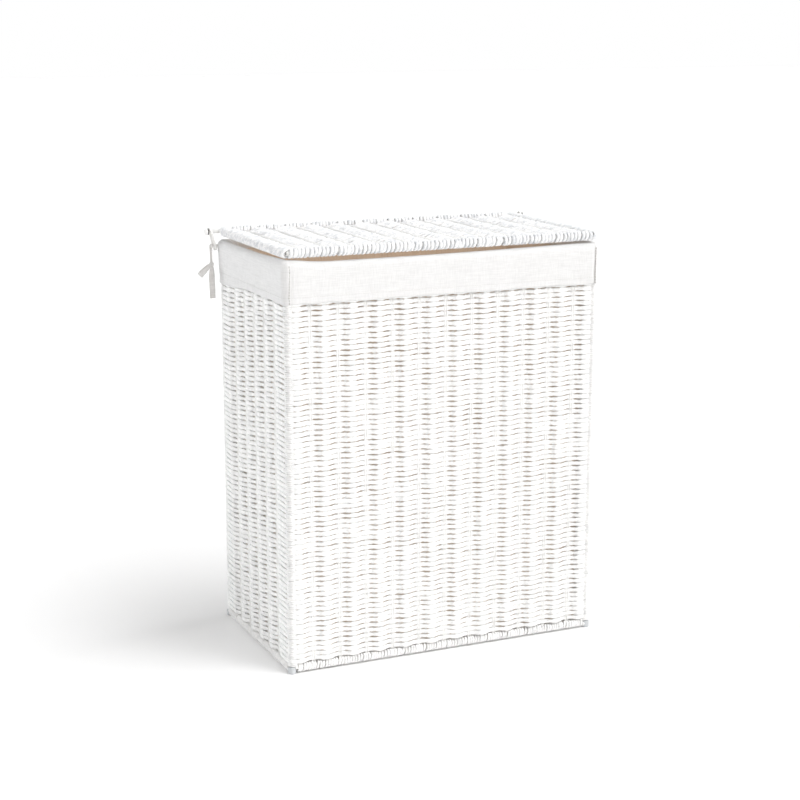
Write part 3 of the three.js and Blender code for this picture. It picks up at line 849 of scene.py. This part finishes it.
def build_bag():
    """The hanging bag inside: from just under the fold down to the bottom, rounded towards the bottom."""
    top = rail_z - BAG_DROP
    bottom = high("liner_bottom")[2]
    heights = np.linspace(top, bottom, 60)
    reach = cuff_reach - CLOTH * 0.2
    reference, _ = loop_points(frame_x - reach, frame_y - reach, 1 * MM, 4 * MM)
    s = loop_length(reference)
    total, s = s[-1], s[:-1]
    skins = [(z, reach) for z in heights] + [(z, reach + CLOTH * 0.8) for z in heights[::-1]]
    loops = []
    for z, inset in skins:
        depth = (top - z) / (top - bottom)
        radius = (2 + 14 * depth**0.5) * MM
        points, ways = loop_points(frame_x - inset, frame_y - inset, radius, 4 * MM)
        folds = ring_noise(s + 0.05 * z, total, [17, 26, 39], 1.0, 11)
        puckers = ring_noise(s + 0.3 * z, total, [53, 71], 1.0, 12)
        sag = ring_noise(s, total, [5, 8], 1.0, 13) * math.sin(math.pi * depth)
        push = (folds * 1.5 + puckers * 0.5 + sag * 1.2) * math.sin(math.pi * min(depth * 1.6, 1) / 2)
        push = np.minimum(push, 0.4) - 1.2 * math.sin(math.pi * depth)
        moved = points + ways * (push * MM)[:, None]
        loops.append(np.column_stack([moved, np.full(len(points), z)]))
    obj = loft("liner_bag", loops)
    # the bag's tan colour is painted shade
    finish_piece(obj, "basket", "liner_cloth", bag_cotton_painted_shade)
    return obj


def build_bag_floor():
    half_x, half_y, z = high("liner_bottom")
    nx, ny = 90, 54
    x, y = np.meshgrid(np.linspace(-half_x, half_x, nx), np.linspace(-half_y, half_y, ny), indexing="ij")
    noise = np.zeros_like(x)
    own = np.random.default_rng(21)
    for _ in range(12):
        kx, ky, phase = own.uniform(-60, 60), own.uniform(-60, 60), own.uniform(0, TAU)
        noise += np.sin(kx * x + ky * y + phase)
    points = np.stack([x, y, z + 0.3 * MM + 0.25 * MM * noise / 2], -1).reshape(-1, 3)
    i, j = (a.ravel() for a in np.meshgrid(np.arange(nx - 1), np.arange(ny - 1), indexing="ij"))
    first = i * ny + j
    faces = [np.stack([first, first + ny, first + ny + 1, first + 1], 1)]
    obj = new_object("liner_floor", points, faces)
    solid = obj.modifiers.new("thickness", "SOLIDIFY")
    solid.thickness = CLOTH
    solid.offset = -1
    # the floor of the bag has the same tan, painted shade
    finish_piece(obj, "basket", "liner_cloth", bag_cotton_painted_shade, "liner_bottom")
    return obj


def stitches(name, places, directions, material, length=2.3 * MM, radius=0.28 * MM):
    halves = directions * length / 2
    pieces = [(place - half, place + half, radius) for place, half in zip(places, halves)]
    return finish_piece(rods(name, pieces, 6), "basket", "liner_cloth", material)


def ring_surface(obj, places, heights):
    """Points on a skin nearest to these places (x, y), each moved to its height."""
    co = np.empty(len(obj.data.vertices) * 3, np.float32)
    obj.data.vertices.foreach_get("co", co)
    co = co.reshape(-1, 3).astype(float)
    heights = np.broadcast_to(heights, len(places))
    found = []
    for (x, y), z in zip(places, heights):
        near = np.abs(co[:, 2] - z) < 6 * MM
        distance = np.hypot(co[near, 0] - x, co[near, 1] - y) + 0.3 * np.abs(co[near, 2] - z)
        order = np.argsort(distance)[:4]
        close = co[near][order]
        weight = 1 / (distance[order] + 0.2 * MM)
        spot = (close * weight[:, None]).sum(0) / weight.sum()
        found.append((spot[0], spot[1], z))
    return np.array(found)


def build_liner():
    """The cuff with its stitches, the bag and its floor."""
    cuff, reference = build_cuff()
    bag = build_bag()
    bag_floor = build_bag_floor()
    nodes = ["liner_front", "liner_right", "liner_back", "liner_left"]
    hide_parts(*nodes)
    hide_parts(*nodes)
    round_length = loop_length(reference)[-1]
    count = int(round_length / HEM_STITCH)
    s = np.linspace(0, round_length, count, endpoint=False)
    closed = np.concatenate([reference, reference[:1]])
    at = loop_length(reference)
    places = np.stack([np.interp(s, at, closed[:, 0]), np.interp(s, at, closed[:, 1])], 1)
    tangent = unit(np.roll(places, -1, 0) - np.roll(places, 1, 0))
    hem = ring_surface(cuff, places, cuff_bottom + HEM_FOLD - 1 * MM)
    whole = ~in_slit(places)
    ways = np.column_stack([tangent, np.zeros(count)])
    stitched = stitches("cuff_hem_stitches", hem[whole], ways[whole], hem_cotton)
    corners = reference[seam_places(reference) > 0]
    z = np.arange(cuff_bottom + 2 * MM, rail_z + 4 * MM, SEAM_STITCH)
    seam = ring_surface(cuff, np.repeat(corners, len(z), 0), np.tile(z, len(corners)))
    seam[:, 1] += np.sign(seam[:, 1]) * 0.3 * MM
    ways = np.tile(UP, (len(seam), 1))
    seams = stitches("cuff_seam_stitches", seam, ways, seam_cotton, 2.6 * MM, 0.5 * MM)


# --- feet, caps, washers and links ---


def build_feet():
    for row, column in CORNERS:
        node = f"foot_cap_{row}_{column}"
        x, y, _ = middle(node)
        top = high(node)[2]
        edge = 1.2 * MM
        flat = extent(node)[0] / 2 - edge
        profile = [(0.2 * MM, 0), *profile_arc((flat, edge), edge, edge, -90, 0, 5)]
        profile += [*profile_arc((flat, top - edge), edge, edge, 0, 90, 5), (0.2 * MM, top)]
        obj = lathe(f"foot_{row}_{column}", profile, (x, y, 0), UP)
        finish_piece(obj, "basket", "foot_plastic", clear_plastic, node)


def along_rod(node):
    """Where a cap or washer on the hinge rod starts, its length and its radius."""
    near, far = sorted((abs(low(node)[0]), abs(high(node)[0])))
    return near, far - near, extent(node)[2] / 2


def build_rod_ends():
    """The domed caps and the rubber washers at the ends of the hinge rod."""
    for column, hand in HANDS:
        node = f"rod_cap_{column}"
        near, length, radius = along_rod(node)
        profile = [(0.2 * MM, 0), (radius - 0.4 * MM, 0), (radius, 0.4 * MM)]
        profile += profile_arc((0.2 * MM, 1 * MM), radius - 0.2 * MM, length - 1 * MM, 0, 90, 8)
        obj = lathe(f"cap_{column}", profile, (hand * near, frame_y, lid_z), (hand, 0, 0))
        finish_piece(obj, "lid", "foot_plastic", cap_plastic, node)

        node = f"rod_washer_{column}"
        near, length, radius = along_rod(node)
        hole = lid_rod_radius + WRAP_GAP
        edge = 0.25 * MM
        profile = [(hole, 0), (radius - edge, 0), (radius, edge)]
        profile += [(radius, length - edge), (radius - edge, length), (hole, length)]
        obj = lathe(f"washer_{column}", profile, (hand * near, frame_y, lid_z), (hand, 0, 0))
        finish_piece(obj, "lid", "washer_rubber", black_rubber, node)


def build_links():
    """The oval links: a rounded band swept round the lid's rod and the basket's rail."""
    half_steps, section_sides = 17, 12
    for column in ("left", "right"):
        node = f"hinge_ring_{column}"
        centre = middle(node)
        vertices = np.array([v.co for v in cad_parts[node].data.vertices])
        upper = vertices[vertices[:, 2] > centre[2]].mean(0)
        lower = vertices[vertices[:, 2] < centre[2]].mean(0)
        lean = unit((upper - lower) * np.array([1, 0, 1]))
        across = unit(np.cross(lean, REARWARD))
        long_x, long_y, long_z = extent(node)
        outer = long_y / 2
        band = outer - lid_rod_radius - LINK_GAP
        width = max((long_x - abs(lean[0]) * long_z) / abs(across[0]), LINK_WIDTH)
        reach = long_z / 2 / lean[2] - outer
        path, out = [], []
        for start, sign in ((0, 1), (math.pi, -1)):
            for a in np.linspace(start, start + math.pi, half_steps):
                out.append((math.cos(a), math.sin(a)))
                path.append((0, sign * reach))
        out = np.array(out)
        path = np.array(path) + out * (outer - band / 2)
        line = centre + path[:, :1] * REARWARD + path[:, 1:] * lean
        outward = out[:, :1] * REARWARD + out[:, 1:] * lean
        a = TAU * np.arange(section_sides) / section_sides
        x = power(np.cos(a), 0.45) * band / 2
        y = power(np.sin(a), 0.45) * width / 2
        points = line[:, None] + outward[:, None] * x[None, :, None] + across * y[None, :, None]
        faces = [grid_faces(1, len(line), section_sides, True)]
        obj = new_object(f"link_{column}", points.reshape(-1, 3), faces)
        finish_piece(obj, "basket", "white_wire", wire_paint, node)


def build_rail():
    """The rear rail and the corner posts."""
    node = "rear_top_rail"
    ends = [[edge[0], frame_y, rail_z] for edge in (low(node), high(node))]
    obj = rods("rear_rail", [(*ends, rod_radius)], 24)
    finish_piece(obj, "basket", "white_wire", wire_paint, node)
    for row, column in CORNERS:
        node = f"corner_post_{row}_{column}"
        x, y, _ = middle(node)
        ends = [[x, y, edge[2]] for edge in (low(node), high(node))]
        obj = rods(f"post_{row}_{column}", [(*ends, rod_radius)], 20)
        finish_piece(obj, "basket", "white_wire", wire_paint, node)


# --- ties ---


def ribbon(name, line, across, width, cup=0.0):
    """A strip of tape along a line: across is its width's direction, and cup bends it into a trough."""
    line, across = np.array(line, float), unit(np.array(across, float))
    tangent = unit(np.gradient(line, axis=0))
    normal = unit(np.cross(tangent, across))
    share = np.linspace(-1, 1, 7)
    top = [(x * 0.5, cup * x * x, 0.5) for x in share]
    bottom = [(x * 0.5, cup * x * x, -0.5) for x in share[::-1]]
    section = np.array(top + bottom)
    width = np.broadcast_to(np.asarray(width, float), len(line))
    points = line[:, None] + across[:, None] * (width[:, None] * section[None, :, 0])[..., None]
    points = points + normal[:, None] * (section[:, 1] + section[:, 2] * TAPE)[None, :, None]
    return new_object(name, points.reshape(-1, 3), tube_faces(1, len(line), len(section)))


def smooth_line(points, steps):
    """A smooth curve through points (Catmull-Rom)."""
    p = np.array(points, float)
    p = np.concatenate([2 * p[:1] - p[1:2], p, 2 * p[-1:] - p[-2:-1]])
    out = []
    for i in range(1, len(p) - 2):
        t = np.linspace(0, 1, steps, endpoint=i == len(p) - 3)[:, None]
        a, b, c, d = p[i - 1], p[i], p[i + 1], p[i + 2]
        out.append(0.5 * (2 * b + (c - a) * t + (2 * a - 5 * b + 4 * c - d) * t**2
                          + (3 * b - a - 3 * c + d) * t**3))
    return np.concatenate(out)


def tie_strand(column, hand, knot):
    """The strand that comes up from the knot, goes round the rail and back."""
    node = f"tie_loop_{column}"
    half = extent(node)[1] / 2 - TAPE / 2
    angle = np.radians(np.linspace(250, -70, 33))[2:-2]
    x, foot = knot[0], knot[2] + 2 * MM
    turn = [(x - hand * 0.6 * MM * math.sin(a), frame_y + half * math.cos(a), rail_z + half * math.sin(a))
            for a in angle]
    line = smooth_line([(x, frame_y - 0.7 * MM, foot), *turn, (x, frame_y + 0.9 * MM, foot)], 4)
    strand = ribbon(f"tie_strand_{column}", line, [[1, 0, 0]] * len(line), 2.5 * MM)
    return finish_piece(strand, "basket", "tie_ribbon", tape_cotton_painted_shade, node)


def tie_lump(column, hand, knot, radius):
    """The knot: a ball with ridges, tilted outwards."""
    profile = []
    for a in np.linspace(0, math.pi, 13):
        ridge = 1 + 0.10 * math.cos(4 * a)
        profile.append((max(radius * 0.95 * math.sin(a) * ridge, 0.1 * MM), -radius * math.cos(a)))
    lump = lathe(f"tie_lump_{column}", profile, knot, (hand * 0.35, 0.2, 1), 28)
    return finish_piece(lump, "basket", "tie_ribbon", tape_cotton_painted_shade, f"tie_knot_{column}")


def tie_tail(column, hand, knot, radius):
    """The hanging end, which sways and twists a little and widens below the knot."""
    z = np.linspace(knot[2] - radius * 0.6, low(f"tie_tail_{column}")[2], 7)
    sway = np.array([0, 0.8, 1.2, 0.6, -0.2, -0.5, 0.1]) * MM
    twist = np.radians([0, 8, 14, 10, 4, -6, -10])
    line = smooth_line(np.stack([knot[0] + hand * 0.4 * sway, frame_y - sway, z], 1), 6)
    share = np.linspace(0, 1, len(line))
    turns = np.interp(share, np.linspace(0, 1, 7), twist)
    across = np.stack([np.cos(turns), np.sin(turns) * hand, 0 * turns], 1)
    width = np.interp(share, [0, 0.12, 0.3, 1], [3.5, 6.6, 8.2, 8.4]) * MM
    tail = ribbon(f"tie_tail_tape_{column}", line, across, width, 1.3 * MM)
    return finish_piece(tail, "basket", "tie_ribbon", tape_cotton_painted_shade, f"tie_tail_{column}"), line


def tie_bow(column, hand, knot):
    """The tab of the bow: tape that goes out to the side and back, doubled."""
    node = f"tie_bow_{column}"
    outer_x = (high(node) if hand > 0 else low(node))[0]
    tip = np.array([outer_x - hand * 3.4 * MM, frame_y, low(node)[2] + 3.0 * MM])
    root = np.array([knot[0] + hand * 1.0 * MM, frame_y, knot[2] + 0.5 * MM])
    outline = ((0, 0.6), (0.3, 1.9), (0.65, 2.1), (0.93, 1.3), (1.0, 0))
    outline += tuple((reach, -aside) for reach, aside in outline[-2::-1])
    line = [root + (tip - root) * reach + REARWARD * aside * MM for reach, aside in outline]
    line = smooth_line(line, 6)
    across = np.cross(unit(tip - root), REARWARD)
    share = np.linspace(0, 1, len(line))
    width = np.interp(share, [0, 0.14, 0.3, 0.5, 0.7, 0.86, 1], [3.2, 6.4, 8.4, 8.6, 8.4, 6.4, 3.2]) * MM
    bow = ribbon(f"tie_bow_tape_{column}", line, [across] * len(line), width, 0.5 * MM)
    return finish_piece(bow, "basket", "tie_ribbon", tape_cotton_painted_shade, node), line


def build_ties():
    for column, hand in HANDS:
        knot = middle(f"tie_knot_{column}")
        radius = extent(f"tie_knot_{column}")[2] / 2
        loop = tie_strand(column, hand, knot)
        lump = tie_lump(column, hand, knot, radius)
        tail, line = tie_tail(column, hand, knot, radius)
        bow, line = tie_bow(column, hand, knot)


# --- camera, light and floor ---


def build_studio():
    camera = add_object("camera", bpy.data.cameras.new("camera"))
    camera.data.lens = 78.49
    camera.location = (-0.986, -2.183, 0.864)
    camera.rotation_euler = (math.radians(90 - 12.64), 0, math.radians(-24.09))
    bpy.context.scene.camera = camera

    corners = 20 * np.array([[-1, -1, 0], [1, -1, 0], [1, 1, 0], [-1, 1, 0]])
    floor = new_object("floor", corners, [np.array([[0, 1, 2, 3]])], smooth=False)
    material, tree, shader = new_material("floor_paper", 1.0, 0.0)
    specks = object_noise(tree, 3.0)
    tree.links.new(ramp(tree, specks, [(0.3, (0.93, 0.93, 0.93)), (0.7, (0.94, 0.94, 0.94))]),
                   shader.inputs["Base Color"])
    floor.data.materials.append(material)

    # each sun: bearing from the front towards the right, height, strength, softness; angles in degrees
    for name, bearing, height, strength, softness in (
        ("key", 64, 58, 2.1, 45),
        ("front", 24, 24, 1.35, 50),
        ("top", 10, 82, 0.25, 70),
        ("fill", -124, 26, 1.75, 45),
        ("lift", 0, 8, 0.45, 10),
    ):
        light = add_object(name, bpy.data.lights.new(name, "SUN"))
        light.data.energy = strength
        light.data.angle = math.radians(softness)
        if name == "lift":  # a weak warm light without shadows keeps the deep gaps from going black
            light.data.cycles.cast_shadow = False
            light.data.use_shadow = False
            light.data.color = (1.0, 0.91, 0.82)
        light.rotation_euler = (math.radians(90 - height), 0, math.radians(bearing))

    # a dim warm lamp inside, which lights the slot under the lid and the cloth behind the gaps
    lamp = add_object("inside", bpy.data.lights.new("inside", "POINT"))
    lamp.data.energy = 0.36
    lamp.data.color = (1.0, 0.90, 0.80)
    lamp.data.shadow_soft_size = 0.06
    lamp.location = (0, 0, rail_z / 2)

    world = bpy.data.worlds.new("white")
    world.use_nodes = True
    bpy.context.scene.world = world
    tree = world.node_tree
    ground = tree.nodes["Background"]
    ground.inputs["Color"].default_value = (1, 1, 1, 1)
    ground.inputs["Strength"].default_value = 0.16
    seen = add_node(tree, "ShaderNodeBackground", {"Color": (1, 1, 1, 1), "Strength": 1.0})
    rays = add_node(tree, "ShaderNodeLightPath")
    mixed = add_node(tree, "ShaderNodeMixShader", {0: rays.outputs["Is Camera Ray"]})
    tree.links.new(ground.outputs[0], mixed.inputs[1])
    tree.links.new(seen.outputs[0], mixed.inputs[2])
    tree.links.new(mixed.outputs[0], tree.nodes["World Output"].inputs["Surface"])
    bpy.context.scene.view_settings.view_transform = "Standard"


# --- everything ---

build_studio()
build_walls()
build_wires()
build_bindings()
build_bottom()
build_lid()
build_liner()
build_feet()
build_rod_ends()
build_links()
build_rail()
build_ties()
